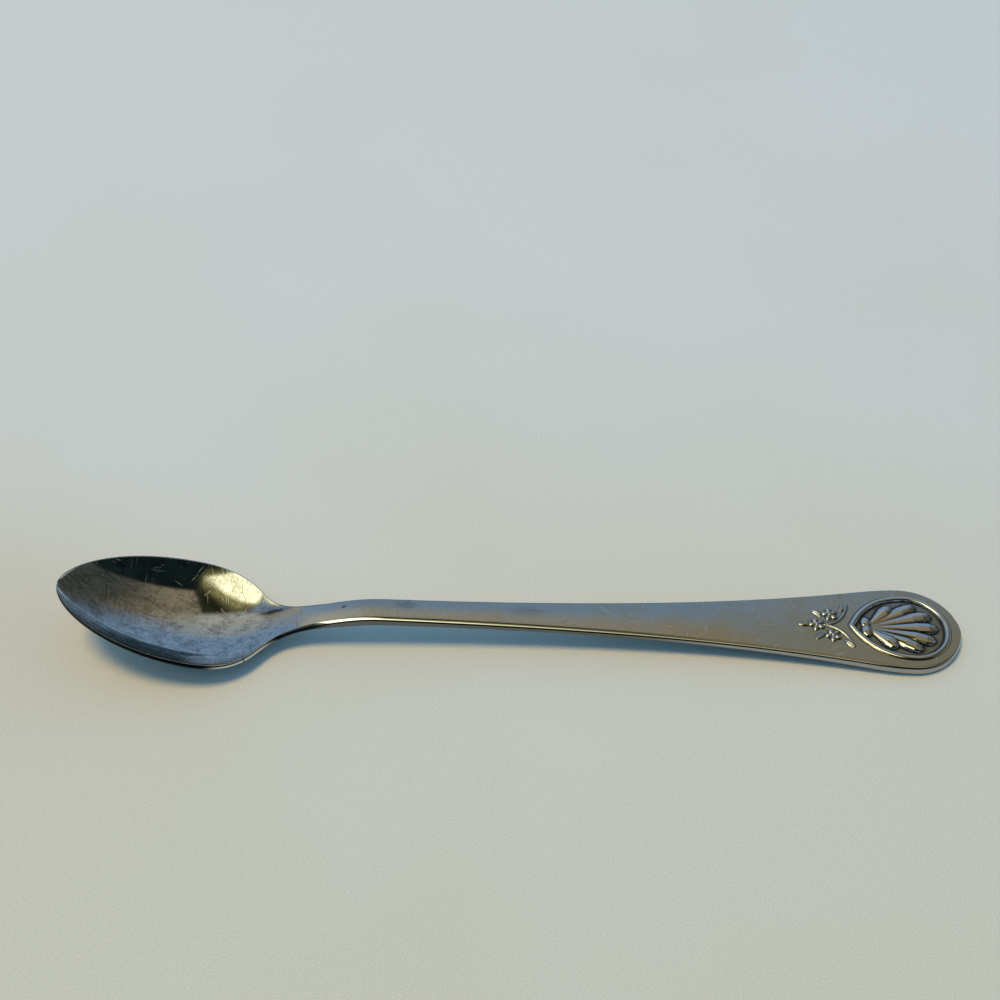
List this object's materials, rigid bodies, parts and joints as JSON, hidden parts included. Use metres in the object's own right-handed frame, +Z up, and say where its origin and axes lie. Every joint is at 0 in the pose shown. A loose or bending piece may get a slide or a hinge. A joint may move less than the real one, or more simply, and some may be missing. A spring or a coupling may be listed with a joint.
{
  "type": "baby spoon",
  "caption": "Slim infant feeding spoon struck from stainless steel, with a small tilted oval bowl, a narrow neck and a flat handle that widens to a round end with struck ornament.",
  "frame": {"origin": "centre of the bounding box, on the table the spoon lies on", "axes": "+X along the spoon from the bowl's tip to the handle's end, +Z up out of the bowl, +Y across the spoon"},
  "size_m": [0.14, 0.0212, 0.0122],
  "materials": {
    "bowl_steel": "worn polish with fine scratches",
    "handle_steel": "worn satin"
  },
  "bodies": {
    "root": {"bowl": "bowl_steel", "neck": "handle_steel", "handle": "handle_steel", "handle_end": "handle_steel"}
  },
  "joints": []
}
